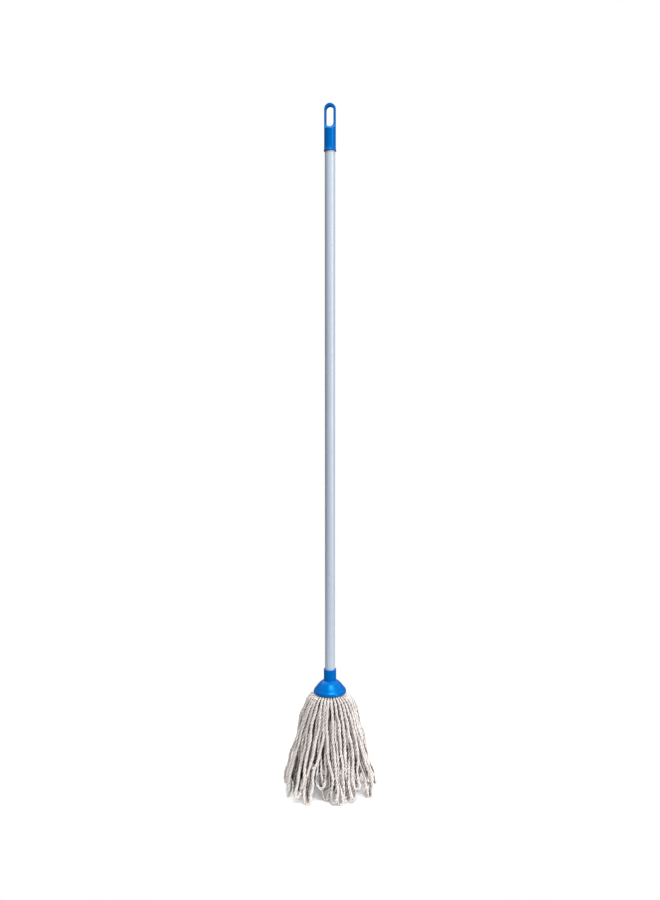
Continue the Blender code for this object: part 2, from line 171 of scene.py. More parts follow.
def yarn_route(ring, index, number):
    """The centreline of one loop of yarn, from cut end to cut end, round the fold at the floor."""
    draw = random.Random(YARN_SEED + number)
    loops, radii, fold_radius = ring
    spacing = FULL_TURN / loops
    middle_angle = spacing * (index + 0.5)
    pair_drifts = drift(draw), drift(draw)
    right = yarn_leg(ring, middle_angle, -1, pair_drifts, draw)
    left = yarn_leg(ring, middle_angle, 1, pair_drifts, draw)
    lift = draw.uniform(0, LONGEST_LIFT) * (number % LIFTED_EVERY == 0)
    last = (right[-1] + left[-1]) / 2
    outward = Vector((last.x, last.y, 0)).normalized()
    reach = fold_radius - radii[-1] + draw.uniform(-FOLD_SPREAD, FOLD_SPREAD)
    centre = last + outward * reach
    centre.z = YARN_END_DIAMETER / 2 + FOLD_RADIUS + lift
    down = (centre - last).normalized()
    across = (left[-1] - right[-1]).normalized()
    across = (across - down * across.dot(down)).normalized()
    across = Matrix.Rotation(draw.uniform(-FOLD_TURN, FOLD_TURN), 3, down) @ across
    fold = []
    for step in range(FOLD_STEPS + 1):
        angle = math.pi * step / FOLD_STEPS
        turned_to = down * math.sin(angle) - across * math.cos(angle)
        fold.append(centre + FOLD_RADIUS * turned_to)
    spare = min(point.z for point in fold) - YARN_END_DIAMETER / 2 - lift
    fold = [point - Vector((0, 0, spare)) for point in fold]
    return right + fold + left[::-1]


def closest_shares(start_a, along_a, start_b, along_b):
    """How far along each pair of straight pieces their closest points lie, from 0 to 1."""
    between = start_a - start_b
    aa = (along_a * along_a).sum(1)
    bb = (along_b * along_b).sum(1)
    ab = (along_a * along_b).sum(1)
    a_between = (along_a * between).sum(1)
    b_between = (along_b * between).sum(1)
    spread = np.maximum(aa * bb - ab * ab, TINY * TINY)
    share_a = np.clip((ab * b_between - a_between * bb) / spread, 0, 1)
    share_b = np.clip((ab * share_a + b_between) / bb, 0, 1)
    share_a = np.clip((ab * share_b - a_between) / aa, 0, 1)
    return share_a, share_b


def near_pairs(points, near, own_skip):
    """The pairs of straight pieces that are close enough to meet, by their running numbers."""
    loops, pieces = len(points), points.shape[1] - 1
    middles = (points[:, 1:] + points[:, :-1]) / 2
    pairs_a, pairs_b = [], []
    for one in range(loops):
        for other in range(one, loops):
            apart = np.linalg.norm(middles[one][:, None] - middles[other][None], axis=2)
            a, b = np.nonzero(apart < near)
            if one == other:
                later = b - a >= own_skip
                a, b = a[later], b[later]
            pairs_a.append(a + one * pieces)
            pairs_b.append(b + other * pieces)
    return np.concatenate(pairs_a), np.concatenate(pairs_b)


def settle(points, thickness, free, fold, gap, near, rounds):
    """Moves the loops sideways, a little at a time, until none touches another.

    points is (loops, points, 3), free says how far each point may move, and fold is the stretch
    of each loop that moves as one piece, or None.
    """
    points = np.array(points, dtype=float)
    loops, count = points.shape[:2]
    pieces = count - 1
    owner = np.repeat(np.arange(loops), pieces)
    first = np.tile(np.arange(pieces), loops)
    start = owner * count + first
    a, b = near_pairs(points, near, FOLD_STEPS + 1 if fold else FOLD_POINTS)
    growth = np.diff(thickness)
    for _ in range(rounds):
        flat = points.reshape(-1, 3)
        along = flat[start + 1] - flat[start]
        share_a, share_b = closest_shares(flat[start[a]], along[a], flat[start[b]], along[b])
        place_a = flat[start[a]] + along[a] * share_a[:, None]
        place_b = flat[start[b]] + along[b] * share_b[:, None]
        away = place_a - place_b
        distance = np.linalg.norm(away, axis=1)
        thick_a = thickness[first[a]] + growth[first[a]] * share_a
        thick_b = thickness[first[b]] + growth[first[b]] * share_b
        lack = (thick_a + thick_b) / 2 + gap - distance
        meet = lack > TOUCHING
        if not meet.any():
            break
        push = away[meet] / np.maximum(distance[meet], TINY)[:, None] * lack[meet, None] / 2
        push[:, 2] = 0
        move = np.zeros_like(flat)
        weight = np.zeros(len(flat))
        for piece, share, sign in ((a, share_a, 1), (b, share_b, -1)):
            at, part_way = start[piece[meet]], share[meet]
            for end, portion in ((0, 1 - part_way), (1, part_way)):
                np.add.at(move, at + end, sign * push * portion[:, None])
                np.add.at(weight, at + end, portion)
        move = move / np.maximum(weight, SHARED_TOUCH)[:, None]
        move = move.reshape(points.shape) * SETTLE_HASTE
        if fold:
            move[:, fold] = move[:, fold].mean(axis=1, keepdims=True) * 2
        points += move * free[None, :, None]
    return points


def smooth_course(points, values, count):
    """Points evenly spaced along a smooth curve through the given ones, with a value at each."""
    points = np.asarray(points, dtype=float)
    steps = np.sqrt(np.linalg.norm(np.diff(points, axis=0), axis=1))
    at = np.concatenate(([0], np.cumsum(steps)))
    slopes = np.gradient(points, at, axis=0, edge_order=2)
    dense = np.linspace(0, at[-1], count * DENSE_STEPS)
    piece = np.clip(np.searchsorted(at, dense, side="right") - 1, 0, len(steps) - 1)
    width = steps[piece][:, None]
    share = (dense[:, None] - at[piece][:, None]) / width
    curve = (
        points[piece] * (2 * share**3 - 3 * share**2 + 1)
        + points[piece + 1] * (3 * share**2 - 2 * share**3)
        + slopes[piece] * width * (share**3 - 2 * share**2 + share)
        + slopes[piece + 1] * width * (share**3 - share**2)
    )
    run = np.concatenate(([0], np.cumsum(np.linalg.norm(np.diff(curve, axis=0), axis=1))))
    even = np.linspace(0, run[-1], count)
    spread = np.interp(dense, at, values)
    course = np.stack([np.interp(even, run, curve[:, axis]) for axis in range(3)], axis=1)
    return course, np.interp(even, run, spread), run[-1]


def wavy(course, length, draw):
    """Gives a course the small waves of a yarn that hangs slack, none near the dome."""
    run = np.linspace(0, length, len(course))
    heights = course[:, 2]
    hanging = np.clip((RIM_Z - heights) / WAVE_ONSET, 0, 1)
    hanging *= np.clip((heights - CALM_Z) / CALM_HEIGHT, CALM_SHARE, 1)
    hanging *= 1 + CURL_SHARE * np.clip((CURL_Z - heights) / CURL_HEIGHT, 0, 1)
    for wave_length, height in WAVES:
        for axis in (0, 1):
            phase = draw.uniform(0, FULL_TURN)
            stretch = draw.uniform(*WAVE_STRETCH)
            wave = np.sin(run * stretch * FULL_TURN / wave_length + phase)
            course[:, axis] += height * draw.uniform(*WAVE_SHARE) * wave * hanging
    return course


def eased(courses, free):
    """Takes the kinks out of the courses, all but the fold at the bottom of each."""
    middle = courses.shape[1] // 2
    share = EASING * free
    share[middle - FOLD_POINTS : middle + FOLD_POINTS] = 0
    between = (courses[:, :-2] + courses[:, 2:]) / 2
    courses[:, 1:-1] += share[None, 1:-1, None] * (between - courses[:, 1:-1])
    return courses


def yarn_courses():
    """Every loop's fine centreline and its diameter at each point."""
    fold_diameters = [YARN_END_DIAMETER] * (FOLD_STEPS + 1)
    diameters = np.array(LEVEL_DIAMETER + fold_diameters + LEVEL_DIAMETER[::-1])
    places = [(ring, index) for ring in YARN_RINGS for index in range(ring[0])]
    routes = [yarn_route(*place, number) for number, place in enumerate(places, start=1)]
    free = np.ones(len(diameters))
    free[:FREE_LEVEL] = free[-FREE_LEVEL:] = 0
    fold = slice(len(LEVEL_Z), len(LEVEL_Z) + FOLD_STEPS + 1)
    routes = settle(routes, diameters, free, fold, SETTLE_GAP, NEAR, SETTLE_ROUNDS)
    courses = []
    for number, route in enumerate(routes, start=1):
        course, thickness, length = smooth_course(route, diameters, FINE_POINTS)
        courses.append(wavy(course, length, random.Random(WAVE_SEED + number)))
    courses = np.array(courses)
    heights = courses.mean(axis=0)[:, 2]
    free = np.clip((RIM_Z - HELD_DEPTH - heights) / LOOSE_DEPTH, 0, 1)
    for _ in range(FINE_PASSES):
        courses = settle(courses, thickness, free, None, FINE_GAP, FINE_NEAR, FINE_ROUNDS)
        courses = eased(courses, free)
    courses = settle(courses, thickness, free, None, FINE_GAP, FINE_NEAR, LAST_ROUNDS)
    courses[:, :, 2] = np.maximum(courses[:, :, 2], YARN_END_DIAMETER / 2)
    return courses, thickness


# ---------------------------------------------------------------- the yarn's surface
PLIES = 3
PLY_OFFSET = 0.52  # the ply's centre and radius, as shares of the yarn's radius
PLY_RADIUS = 0.5
TWIST_SEED = 2000
TWIST_LENGTH = 24 * MM
SLACK_LENGTH, SLACK_TURN = 58 * MM, 0.7  # the twist is looser and tighter by turns
SWELLS = ((33 * MM, 0.07), (11 * MM, 0.05))  # length, and height as a share of the radius
ROUND_POINTS = 27
RING_SPACING = 1.6 * MM
FLOOR_GAP = 0.2 * MM
FUZZ = 0.05  # how uneven the surface is, as a share of the radius
FUZZ_PASSES = ((0, 2), (1, 1))  # axis, and how many times the unevenness is smoothed along it
FIBRE_RADIUS = 3 * MM  # the material's texture is wrapped round a straight yarn of this size
FIBRE_START = 10  # each yarn starts at a random place, up to this, along the texture
CELL = 2.5 * MM  # the grid on which crowding is worked out
CELL_STEP = 0.8 * CELL  # a point of yarn also fills the cells at this distance
SHADE_REACH = [reach * MM for reach in (4, 6, 9, 14, 22, 32)]  # looking out from the surface
DEPTH_REACH = [reach * MM for reach in (12, 18, 26, 36, 48)]  # looking away from the mop's axis
DEPTH_SHARE = 0.9
SHADE_BY_HEIGHT = ((0, 110 * MM, RIM_Z), (1.75, 1.02, 0.5))  # the painted shade, darkest at the floor


class YarnCrowd:
    """How much of the space in and around the skirt is yarn, cell by cell."""

    def __init__(self, courses):
        points = np.concatenate(courses)
        margin = 2 * max(SHADE_REACH)
        self.low = points.min(axis=0) - margin
        self.full = np.zeros(np.ceil((points.max(axis=0) + margin - self.low) / CELL).astype(int))
        step = (-CELL_STEP, 0, CELL_STEP)
        for offset in np.stack(np.meshgrid(step, step, step), axis=-1).reshape(-1, 3):
            self.full[tuple(self.cells(points + offset).T)] = 1
        for axis in range(3):
            near = np.roll(self.full, 1, axis) + np.roll(self.full, -1, axis)
            self.full = (2 * self.full + near) / 4

    def cells(self, points):
        """The cell that each point lies in."""
        where = ((points - self.low) / CELL).astype(int)
        return np.clip(where, 0, np.array(self.full.shape) - 1)

    def shade(self, points, outward):
        """How much yarn keeps the light from each point: nearby, and between it and the outside."""
        away = points * (1, 1, 0)
        away /= np.linalg.norm(away, axis=1)[:, None]
        deep = self.met(points, away, DEPTH_REACH)
        shade = self.met(points, outward, SHADE_REACH) + DEPTH_SHARE * deep
        return shade * np.interp(points[:, 2], *SHADE_BY_HEIGHT)

    def met(self, points, direction, reaches):
        """The share of these distances, along a direction, at which there is yarn."""
        steps = [self.full[tuple(self.cells(points + direction * reach).T)] for reach in reaches]
        return sum(steps) / len(steps)


def ply_outline():
    """The yarn's radius round its section, and how deep in a groove each point lies."""
    angles = np.arange(ROUND_POINTS) * FULL_TURN / ROUND_POINTS
    lobe = FULL_TURN / PLIES
    from_top = (angles + lobe / 2) % lobe - lobe / 2
    reach = PLY_OFFSET * np.cos(from_top)
    reach += np.sqrt(PLY_RADIUS**2 - (PLY_OFFSET * np.sin(from_top)) ** 2)
    reach /= reach.max()
    depth = (reach.max() - reach) / (reach.max() - reach.min())
    return angles, reach, depth


def frames_along(course):
    """The directions along and across a course, turned as little as possible."""
    along = np.gradient(course, axis=0)
    along /= np.linalg.norm(along, axis=1)[:, None]
    across = np.zeros_like(course)
    side = np.cross(along[0], (0, 0, 1))
    for index, direction in enumerate(along):
        side = side - direction * side.dot(direction)
        side /= np.linalg.norm(side)
        across[index] = side
    return along, across, np.cross(along, across)


def grid_faces(rings, around):
    """Quads between rings of points, and a fan that closes each end on the last two points."""
    ring, point = np.meshgrid(np.arange(rings - 1), np.arange(around), indexing="ij")
    following = (point + 1) % around
    low, high = ring * around, (ring + 1) * around
    quads = np.stack([low + point, low + following, high + following, high + point], axis=-1)
    faces = quads.reshape(-1, 4).tolist()
    first_tip, last_tip = rings * around, rings * around + 1
    last = (rings - 1) * around
    for point in range(around):
        following = (point + 1) % around
        faces.append([following, point, first_tip])
        faces.append([last + point, last + following, last_tip])
    return faces


def fuzz(rings, number):
    """Soft random unevenness, drawn out along the fibres."""
    rough = np.random.default_rng(number).normal(size=(rings, ROUND_POINTS))
    for axis, passes in FUZZ_PASSES:
        for _ in range(passes):
            rough = (np.roll(rough, 1, axis) + 2 * rough + np.roll(rough, -1, axis)) / 4
    return rough / rough.std()


def add_attribute(mesh, name, values):
    """Stores a number or a vector at each point, for the material to read."""
    vector = values.ndim == 2
    kind = "FLOAT_VECTOR" if vector else "FLOAT"
    attribute = mesh.attributes.new(name, kind, "POINT")
    field = "vector" if vector else "value"
    attribute.data.foreach_set(field, values.astype(np.float32).ravel())


def ripple(run, wave_length, draw):
    """A sine wave along the yarn, with a random phase."""
    return np.sin(run * FULL_TURN / wave_length + draw.uniform(0, FULL_TURN))


def twisted_yarn(name, course, thickness, crowd, number):
    """One closed mesh of plies twisted round each other along a course."""
    draw = random.Random(TWIST_SEED + number)
    length = np.linalg.norm(np.diff(course, axis=0), axis=1).sum()
    rings = round(length / RING_SPACING)
    centres, thickness, length = smooth_course(course, thickness, rings)
    run = np.linspace(0, length, rings)
    along, across, up = frames_along(centres)
    angles, reach, groove = ply_outline()
    swell = 1
    for swell_length, share in SWELLS:
        swell = swell + share * ripple(run, swell_length, draw)
    slack = SLACK_TURN * ripple(run, SLACK_LENGTH, draw)
    twist = run * FULL_TURN / TWIST_LENGTH + slack + draw.uniform(0, FULL_TURN)
    turned_to = angles[None] + twist[:, None]
    outward = (
        np.cos(turned_to)[..., None] * across[:, None] + np.sin(turned_to)[..., None] * up[:, None]
    )
    radius = (thickness / 2 * swell)[:, None] * reach[None] * (1 + FUZZ * fuzz(rings, number))
    points = (centres[:, None] + radius[..., None] * outward).reshape(-1, 3)
    points[:, 2] = np.maximum(points[:, 2], FLOOR_GAP)
    tips = np.stack([centres[0] - along[0] * MM, centres[-1] + along[-1] * MM])
    mesh = bpy.data.meshes.new(name)
    mesh.from_pydata(np.concatenate([points, tips]).tolist(), [], grid_faces(rings, ROUND_POINTS))
    mesh.shade_smooth()
    mesh.materials.append(COTTON)
    add_attribute(mesh, "groove", np.concatenate([np.tile(groove, rings), (0, 0)]))
    # painted shade: how much nearby yarn keeps the light off each point, which the material darkens
    # the colour by
    shade = crowd.shade(points, outward.reshape(-1, 3))
    add_attribute(mesh, "shade", np.concatenate([shade, (1, 1)]))
    fibre = np.stack(
        [
            np.tile(np.cos(angles), rings) * FIBRE_RADIUS,
            np.tile(np.sin(angles), rings) * FIBRE_RADIUS,
            np.repeat(run, ROUND_POINTS) + draw.uniform(0, FIBRE_START),
        ],
        axis=1,
    )
    add_attribute(mesh, "fibre", np.concatenate([fibre, fibre[:1], fibre[-1:]]))
    add_attribute(mesh, "tone", np.full(len(points) + 2, draw.uniform(-1, 1)))
    obj = bpy.data.objects.new(name, mesh)
    SCENE.collection.objects.link(obj)
    return obj, centres, length


# ---------------------------------------------------------------- materials
class Shader:
    """A node material that is built up from its Principled shader."""

    def __init__(self, name):
        self.material = bpy.data.materials.new(name)
        self.material.use_nodes = True
        self.tree = self.material.node_tree
        self.principled = self.tree.nodes["Principled BSDF"]
        self.place = self.node("TexCoord").outputs["Object"]

    def node(self, kind, **settings):
        made = self.tree.nodes.new("ShaderNode" + kind)
        for key, value in settings.items():
            setattr(made, key, value)
        return made

    def plug(self, value, socket):
        if isinstance(value, bpy.types.NodeSocket):
            self.tree.links.new(value, socket)
        else:
            socket.default_value = value

    def fill(self, node, **sockets):
        for key, value in sockets.items():
            self.plug(value, node.inputs[key.replace("_", " ")])
        return node

    def attribute(self, name, output="Fac"):
        return self.node("Attribute", attribute_name=name).outputs[output]

    def noise(self, vector, scale, detail=4.0, roughness=0.55):
        """Noise with a scale, or with a scale along each axis."""
        if isinstance(scale, tuple):
            stretch = self.node("VectorMath", operation="MULTIPLY")
            self.plug(vector, stretch.inputs[0])
            self.plug(scale, stretch.inputs[1])
            vector, scale = stretch.outputs["Vector"], 1.0
        made = self.node("TexNoise")
        self.fill(made, Vector=vector, Scale=scale, Detail=detail, Roughness=roughness)
        return made.outputs["Fac"]

    def ramp(self, value, low, high, to_low=0.0, to_high=1.0):
        made = self.node("MapRange")
        self.fill(made, Value=value, From_Min=low, From_Max=high, To_Min=to_low, To_Max=to_high)
        return made.outputs["Result"]

    def maths(self, operation, first, second):
        made = self.node("Math", operation=operation)
        self.plug(first, made.inputs[0])
        self.plug(second, made.inputs[1])
        return made.outputs["Value"]

    def mix(self, share, first, second):
        made = self.node("MixRGB")
        self.fill(made, Fac=share, Color1=first, Color2=second)
        return made.outputs["Color"]

    def bump(self, height, distance, strength=1.0):
        made = self.node("Bump")
        self.fill(made, Height=height, Distance=distance, Strength=strength)
        self.plug(made.outputs["Normal"], self.principled.inputs["Normal"])

    def surface(self, **sockets):
        self.fill(self.principled, **sockets)
        return self.material


def colour(red, green, blue):
    """A socket's value, from linear red, green and blue."""
    return (red, green, blue, 1)


# How fine the noise is, along each axis or round and along the yarn
HAIR_GRAIN, CLUMP_GRAIN, SPECK_GRAIN = (1500, 1500, 260), (420, 420, 70), (380, 380, 300)
FLOW_GRAIN, STREAK_GRAIN, CLOUD_GRAIN = (60, 60, 18), (420, 420, 5), (30, 30, 8)
PATCH_GRAIN, GLOSS_GRAIN, FINE_GRAIN, SLOW_GRAIN, WORN_GRAIN = 34.0, 140.0, 1400.0, 90.0, 900.0

COTTON_CLEAN = colour(0.93, 0.885, 0.86)
COTTON_DULL = colour(0.76, 0.71, 0.685)
COTTON_SPECK = colour(0.40, 0.345, 0.31)
COTTON_HAIR = colour(0.46, 0.41, 0.38)
# painted shade for the grooves between the plies
COTTON_GROOVE_SHADE = colour(0.22, 0.17, 0.145)
# painted shade where other yarn keeps the light off
COTTON_SHADED = colour(0.012, 0.007, 0.005)
BLUE_LIGHT, BLUE_DARK = colour(0, 0.112, 0.43), colour(0, 0.101, 0.395)
BLUE_REFLECTION = colour(0.02, 0.5, 1)
WHITE_LIGHT, WHITE_DARK = colour(0.72, 0.72, 0.7), colour(0.66, 0.66, 0.63)
WHITE_REFLECTION = colour(1, 1, 1)
COATING_LIGHT, COATING_DARK = colour(0.475, 0.535, 0.63), colour(0.45, 0.51, 0.60)
COATING_STREAK = colour(0.505, 0.565, 0.66)
STEEL_LIGHT, STEEL_DARK = colour(0.62, 0.62, 0.64), colour(0.45, 0.45, 0.47)


def cotton_material():
    """Off-white cotton: fibres along the plies, painted shade in the grooves, and painted shade
    where other yarn crowds it.
    """
    shader = Shader("cotton_yarn")
    fibre = shader.attribute("fibre", "Vector")
    groove = shader.attribute("groove")
    painted_shade = shader.attribute("shade")
    hairs = shader.noise(fibre, HAIR_GRAIN, 5.0, 0.65)
    clumps = shader.noise(fibre, CLUMP_GRAIN, 3.0)
    patches = shader.noise(shader.place, PATCH_GRAIN, 3.0)
    uneven = shader.maths("ADD", patches, shader.maths("MULTIPLY", shader.attribute("tone"), 0.12))
    dull = shader.ramp(uneven, 0.3, 0.75)
    body = shader.mix(dull, COTTON_CLEAN, COTTON_DULL)
    specks = shader.noise(fibre, SPECK_GRAIN, 2.0)
    body = shader.mix(shader.ramp(specks, 0.5, 0.36, 0, 0.7), body, COTTON_SPECK)
    body = shader.mix(shader.ramp(hairs, 0.5, 0.3, 0, 0.45), body, COTTON_HAIR)
    # painted shade: the deeper a point lies in a groove between plies, the darker its colour
    groove_shade = shader.maths("MULTIPLY", shader.maths("POWER", groove, 1.2), 0.7)
    body = shader.mix(groove_shade, body, COTTON_GROOVE_SHADE)
    # painted shade: the colour goes towards near black where other yarn keeps the light off
    in_shade = shader.ramp(painted_shade, 0.18, 0.5, 0, 0.985)
    body = shader.mix(in_shade, body, COTTON_SHADED)
    height = shader.maths("ADD", shader.maths("MULTIPLY", hairs, 0.6), clumps)
    shader.bump(height, 0.8 * MM, 1.0)
    return shader.surface(
        Base_Color=body,
        Roughness=0.95,
        Specular_IOR_Level=0.15,
        Sheen_Weight=0.2,
        Sheen_Roughness=0.6,
    )


def plastic_material(name, light, dark, roughness, reflection):
    """Moulded plastic: faint flow marks, a fine texture and uneven gloss."""
    shader = Shader(name)
    flow = shader.noise(shader.place, FLOW_GRAIN)
    gloss = shader.noise(shader.place, GLOSS_GRAIN, 5.0)
    grain = shader.noise(shader.place, FINE_GRAIN, 3.0)
    slow = shader.noise(shader.place, SLOW_GRAIN, 2.0)
    shader.bump(shader.maths("ADD", shader.maths("MULTIPLY", grain, 0.25), slow), 0.12 * MM, 0.5)
    return shader.surface(
        Base_Color=shader.mix(shader.ramp(flow, 0.3, 0.7), light, dark),
        Roughness=shader.ramp(gloss, 0.3, 0.7, roughness - 0.04, roughness + 0.06),
        Specular_IOR_Level=0.75,
        Specular_Tint=reflection,
    )


def coated_tube_material():
    """Plastic-coated steel: a satin skin with faint drawn streaks along the tube."""
    shader = Shader("coated_steel")
    streaks = shader.noise(shader.place, STREAK_GRAIN)
    cloud = shader.noise(shader.place, CLOUD_GRAIN, 3.0)
    tint = shader.mix(shader.ramp(cloud, 0.3, 0.7), COATING_LIGHT, COATING_DARK)
    tint = shader.mix(shader.ramp(streaks, 0.45, 0.7, 0, 0.25), tint, COATING_STREAK)
    shader.bump(streaks, 0.05 * MM, 0.3)
    return shader.surface(
        Base_Color=tint,
        Roughness=shader.ramp(cloud, 0.3, 0.7, 0.24, 0.3),
        Specular_IOR_Level=0.75,
    )


def steel_material():
    """Bright steel, unevenly worn."""
    shader = Shader("screw_steel")
    worn = shader.noise(shader.place, WORN_GRAIN)
    tint = shader.mix(worn, STEEL_LIGHT, STEEL_DARK)
    shader.bump(worn, 0.03 * MM, 0.4)
    gloss = shader.ramp(worn, 0.3, 0.7, 0.22, 0.42)
    return shader.surface(Base_Color=tint, Metallic=1.0, Roughness=gloss)


COTTON = cotton_material()
BLUE = plastic_material("blue_plastic", BLUE_LIGHT, BLUE_DARK, 0.27, BLUE_REFLECTION)
WHITE = plastic_material("inner_plastic", WHITE_LIGHT, WHITE_DARK, 0.45, WHITE_REFLECTION)
COATED = coated_tube_material()
STEEL = steel_material()

# ---------------------------------------------------------------- hard parts
# Heights above the floor, as in the CAD
RETAINER_LOW_Z = 226 * MM
SCREW_LOW_Z = 226.8 * MM
SCREW_HEAD_Z = 229 * MM
RECESS_TOP_Z = 229.3 * MM
PARTITION_LOW_Z = 243.5 * MM
PARTITION_TOP_Z = 247.5 * MM
SCREW_THREAD_Z = 248.4 * MM
NECK_FOOT_Z = 249.4 * MM
SCREW_TOP_Z = 250.6 * MM
FERRULE_LOW_Z = 251.5 * MM
COUNTERBORE_Z = 268.2 * MM
TUBE_LOW_Z = 270 * MM
SOCKET_TOP_Z = 274 * MM
PLUG_TOP_Z = 300 * MM
CAP_LOW_Z = 1389 * MM
TUBE_TOP_Z = 1432 * MM
BORE_ROOF_Z = 1432.9 * MM  # higher than in the CAD, to leave room for the softened corner
SLOT_LOW_Z = 1438.7 * MM
SLOT_TOP_Z = 1479.5 * MM
CAP_TOP_Z = 1487 * MM

GAP = 0.3 * MM
TUBE_RADIUS = 11 * MM
TUBE_WALL = 0.5 * MM
THREAD_PITCH = 5 * MM
THREAD_HELIX_RADIUS = 8.9 * MM
THREAD_ROUND = 1.4 * MM
THREAD_CLEARANCE = 0.6 * MM
THREAD_TURNS = 2.8
GROOVE_LEAD = math.radians(18)  # the groove begins this much before the ridge
STUB_RADIUS = 8.6 * MM
FERRULE_BORE = 6 * MM
NECK_RADIUS = 13.75 * MM
NECK_ROUND = 0.9 * MM
NECK_FILLET = 1.4 * MM
COUNTERBORE_RADIUS = 11.4 * MM
COUNTERBORE_EDGE = 0.4 * MM
PARTITION_RADIUS = 14 * MM
LIP_RADIUS = 34.75 * MM
LIP_ROUND = 1.05 * MM
SCREW_HOLE = 1.9 * MM
SCREW_SHANK, SCREW_THREAD, SCREW_HEAD = 1.25 * MM, 1.5 * MM, 3.5 * MM
SCREW_PITCH = 1.1 * MM
SCREW_THREADS = 17
SCREW_HEAD_ROUND = 0.9 * MM
SCREW_STEPS = 48
DRIVE_ARM, DRIVE_WIDTH, DRIVE_DEPTH = 1.9 * MM, 0.8 * MM, 1 * MM
NEAR_AXIS = 0.05 * MM  # a turned outline stops just short of the axis
SLEEVE_RADIUS = 12.3 * MM
FLARE_RADIUS = 13.5 * MM
FLARE_HEIGHT = 8 * MM
FLARE_BULGE = 0.4 * MM
TAB_THICKNESS = 9.5 * MM
SLOT_WIDTH = 15.6 * MM
SCOOP_RADIUS = 8 * MM
SCOOP_Z = 1442.7 * MM
CROWN_START = 0.249  # in turns: just short of the axis, where the cap's core takes over
CORE_RADIUS = 1.2 * MM

TURNED_STEPS = 128
POINTS_PER_TURN = 40
THREAD_SIDES = 20
CAP_VOXEL = 0.42 * MM
CAP_SMOOTHING = 24
SHARP_ANGLE = math.radians(38)


def new_object(name, points, faces):
    """A linked object with a mesh of these points and faces."""
    mesh = bpy.data.meshes.new(name)
    mesh.from_pydata([tuple(point) for point in points], [], faces)
    obj = bpy.data.objects.new(name, mesh)
    SCENE.collection.objects.link(obj)
    return obj


def turned(name, profile, steps=TURNED_STEPS):
    """A closed outline of (radius, height) pairs turned about Z. It runs down its outer side."""
    count = len(profile)
    points, faces = [], []
    for step in range(steps):
        angle = FULL_TURN * step / steps
        across, deep = math.cos(angle), math.sin(angle)
        points += [(radius * across, radius * deep, height) for radius, height in profile]
        here, there = step * count, (step + 1) % steps * count
        for corner in range(count):
            following = (corner + 1) % count
            faces.append((here + corner, here + following, there + following, there + corner))
    return new_object(name, points, faces)


def slab(name, outline, thickness, across):
    """A flat outline of (sideways, height) pairs, centred on the plane that faces across."""
    points = []
    for side in (-0.5, 0.5):
        for sideways, height in outline:
            place = (sideways, side * thickness, height)
            points.append(place if across == "Y" else (place[1], place[0], height))
    count = len(outline)
    near, far = list(range(count)), list(range(count, 2 * count))
    faces = [near[::-1], far]
    for corner in range(count):
        following = (corner + 1) % count
        faces.append((near[corner], near[following], far[following], far[corner]))
    obj = new_object(name, points, faces)
    return facing_out(obj)


def facing_out(obj):
    """Turns a closed mesh's faces outwards, if they all point in."""
    mesh = obj.data
    mesh.calc_loop_triangles()
    volume = 0
    for triangle in mesh.loop_triangles:
        a, b, c = (mesh.vertices[index].co for index in triangle.vertices)
        volume += a.dot(b.cross(c))
    if volume < 0:
        mesh.flip_normals()
    return obj


def arc(centre, radius, start, end, steps):
    """Points (sideways, height) on an arc, with angles in turns."""
    angles = [FULL_TURN * (start + (end - start) * step / steps) for step in range(steps + 1)]
    return [(centre[0] + radius * math.cos(a), centre[1] + radius * math.sin(a)) for a in angles]


def curved(points, steps):
    """A smooth outline through a few (radius, height) points."""
    flat = [(radius, 0, height) for radius, height in points]
    course, _, _ = smooth_course(flat, np.zeros(len(points)), steps)
    return [(radius, height) for radius, _, height in course.tolist()]


def thread_body(name, growth, turns, lead=0):
    """The rounded ridge of the thread, or with some growth and lead the groove it runs in."""
    steps = round(turns * POINTS_PER_TURN) + 1
    turned_by = np.arange(steps) * FULL_TURN / POINTS_PER_TURN - lead
    heights = FERRULE_LOW_Z + THREAD_ROUND + THREAD_PITCH * turned_by / FULL_TURN
    across, deep = np.cos(turned_by), np.sin(turned_by)
    centres = np.stack([THREAD_HELIX_RADIUS * across, THREAD_HELIX_RADIUS * deep, heights], axis=1)
    outward = np.stack([across, deep, np.zeros(steps)], axis=1)
    round_by = np.arange(THREAD_SIDES) * FULL_TURN / THREAD_SIDES
    size = THREAD_ROUND + growth
    ring = size * np.cos(round_by)[None, :, None] * outward[:, None]
    ring = ring + size * np.sin(round_by)[None, :, None] * np.array((0, 0, 1))
    points = (centres[:, None] + ring).reshape(-1, 3)
    tips = np.stack([centres[0], centres[-1]])
    faces = grid_faces(steps, THREAD_SIDES)
    return facing_out(new_object(name, np.concatenate([points, tips]), faces))


def applied(obj):
    """The object with its modifiers made part of its mesh."""
    evaluated = obj.evaluated_get(bpy.context.evaluated_depsgraph_get())
    mesh = bpy.data.meshes.new_from_object(evaluated)
    obj.modifiers.clear()
    obj.data = mesh
    return obj


def combine(obj, other, operation):
    """Joins or cuts a mesh with another, which is used up."""
    boolean = obj.modifiers.new(other.name, "BOOLEAN")
    boolean.object = other
    boolean.operation = operation
    boolean.solver = "EXACT"
    applied(obj)
    bpy.data.objects.remove(other, do_unlink=True)


def finish_piece(obj, material, node, body):
    """Gives a hard piece its material and its place in the frame."""
    obj.data.materials.clear()
    obj.data.materials.append(material)
    obj.data.shade_smooth()
    obj.data.set_sharp_from_angle(angle=SHARP_ANGLE)
    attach(obj, body)
    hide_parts(node)


def make_handle_tube():
    """The coated steel tube, with the sharp edges of its ends taken off."""
    edge = 0.12 * MM
    inner = TUBE_RADIUS - TUBE_WALL
    profile = [
        (inner, TUBE_TOP_Z),
        (TUBE_RADIUS - edge, TUBE_TOP_Z),
        (TUBE_RADIUS, TUBE_TOP_Z - edge),
        (TUBE_RADIUS, TUBE_LOW_Z + edge),
        (TUBE_RADIUS - edge, TUBE_LOW_Z),
        (inner, TUBE_LOW_Z),
    ]
    tube = turned("coated_tube", profile)
    finish_piece(tube, COATED, "handle_tube", "handle")


